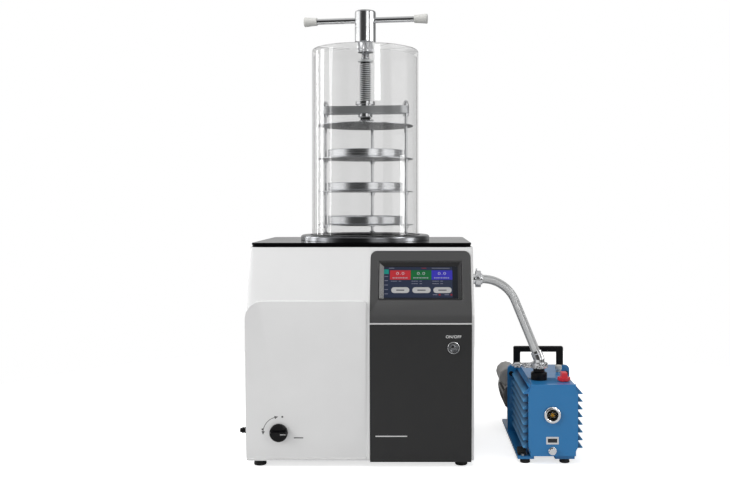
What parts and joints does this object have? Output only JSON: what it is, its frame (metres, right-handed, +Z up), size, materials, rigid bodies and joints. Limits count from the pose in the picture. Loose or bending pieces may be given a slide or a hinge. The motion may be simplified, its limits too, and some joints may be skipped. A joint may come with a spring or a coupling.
{
  "type": "freeze dryer",
  "caption": "Bench freeze dryer: cabinet with cold trap, clear stoppering chamber with rack and tee handle, touch screen, and a vacuum pump joined by a short hose.",
  "frame": {"origin": "centre of the machine's footprint, on the surface its feet stand on", "axes": "+Z up, -Y the operator's side, +X towards the vacuum pump"},
  "size_m": [0.778, 0.47, 1.056],
  "materials": {
    "white_paint": "satin powder coat",
    "black_gloss": "polished",
    "dark_panel": "satin",
    "black_plastic": "satin",
    "rubber": "moulded",
    "stainless": "brushed",
    "polished_steel": "polished",
    "copper": "drawn",
    "clear_acrylic": "clear, polished",
    "pale_plastic": "moulded",
    "hose_plastic": "translucent, reinforced",
    "blue_paint": "gloss enamel on cast aluminium",
    "grey_paint": "satin enamel",
    "red_plastic": "moulded"
  },
  "bodies": {
    "machine": {"housing": "white_paint", "base_pan": "stainless", "rear_panel": "white_paint", "top_plate": "black_gloss", "control_fascia": "dark_panel", "lower_fascia": "dark_panel", "touch_screen": "black_gloss", "button_bezel": "polished_steel", "vent_nozzle": "black_plastic", "foot_front_left": "rubber", "foot_front_right": "rubber", "foot_rear_left": "rubber", "foot_rear_right": "rubber", "power_inlet": "black_plastic", "cold_trap": "stainless", "trap_insulation": "rubber", "evaporator_coil": "copper", "compressor": "black_plastic", "condenser": "copper", "fan_shroud": "stainless", "base_ring": "polished_steel", "chamber_seal": "rubber", "chamber_bell": "clear_acrylic", "gland_nut": "polished_steel", "rod_right": "stainless", "rod_left": "stainless", "rod_back": "stainless", "shelf_1": "stainless", "shelf_2": "stainless", "shelf_3": "stainless", "tray_1": "stainless", "tray_2": "stainless", "tray_3": "stainless", "crossbar": "stainless", "screw_nut": "stainless", "vacuum_port": "stainless", "port_clamp": "polished_steel", "port_tail": "polished_steel", "vacuum_hose": "hose_plastic", "pump_body": "blue_paint", "pump_motor": "grey_paint", "pump_handle": "black_plastic", "pump_inlet": "black_plastic", "inlet_clamp": "polished_steel", "inlet_tail": "polished_steel", "sight_glass": "polished_steel"},
    "tee_handle": {"tee_hub": "polished_steel", "tee_bar": "polished_steel", "bar_cap_left": "pale_plastic", "bar_cap_right": "pale_plastic", "drive_shaft": "polished_steel"},
    "press": {"press_plate": "stainless", "thrust_cup": "stainless"},
    "screw": {"press_screw": "stainless"},
    "button": {"power_button": "stainless"},
    "knob": {"vent_knob": "black_plastic"},
    "fan": {"fan_rotor": "black_plastic"},
    "filler": {"filler_cap": "red_plastic"},
    "drain": {"drain_plug": "stainless"},
    "ballast": {"ballast_valve": "polished_steel"}
  },
  "joints": [
    {"name": "handle_turn", "type": "hinge", "parent": "machine", "child": "tee_handle", "pos_m": [-0.118, 0.00998, 0], "axis": [0, 0, -1], "range_deg": [0, 5400]},
    {"name": "press_travel", "type": "slide", "parent": "machine", "child": "press", "axis": [0, 0, -1], "range_m": [0, 0.045]},
    {"name": "screw_spin", "type": "hinge", "parent": "press", "child": "screw", "pos_m": [-0.118, 0.00998, 0], "axis": [0, 0, -1], "range_deg": [0, 5400]},
    {"name": "button_press", "type": "slide", "parent": "machine", "child": "button", "axis": [0, 0.9984, 0.0558], "range_m": [0, 0.002], "stiffness_N_per_m": 400, "springref_m": -0.0005},
    {"name": "knob_turn", "type": "hinge", "parent": "machine", "child": "knob", "pos_m": [-0.297, -0.2156, 0.079], "axis": [0, 0.9984, 0.0558], "range_deg": [0, 90]},
    {"name": "fan_spin", "type": "hinge", "parent": "machine", "child": "fan", "pos_m": [-0.008, 0.14998, 0.13], "axis": [0, 1, 0], "continuous": true},
    {"name": "filler_cap_turn", "type": "hinge", "parent": "machine", "child": "filler", "pos_m": [0.342, -0.15502, 0.19], "axis": [0, 0, 1], "range_deg": [0, 720]},
    {"name": "drain_plug_turn", "type": "hinge", "parent": "machine", "child": "drain", "pos_m": [0.31, -0.20002, 0.032], "axis": [0, -1, 0], "range_deg": [0, 720]},
    {"name": "ballast_turn", "type": "hinge", "parent": "machine", "child": "ballast", "pos_m": [0.348, -0.04002, 0.19], "axis": [0, 0, 1], "range_deg": [0, 360]}
  ],
  "couplings": [
    {"joint": "press_travel", "follows": "handle_turn", "m_per_rad": 0.00047746},
    {"joint": "screw_spin", "follows": "handle_turn", "ratio": 1}
  ]
}
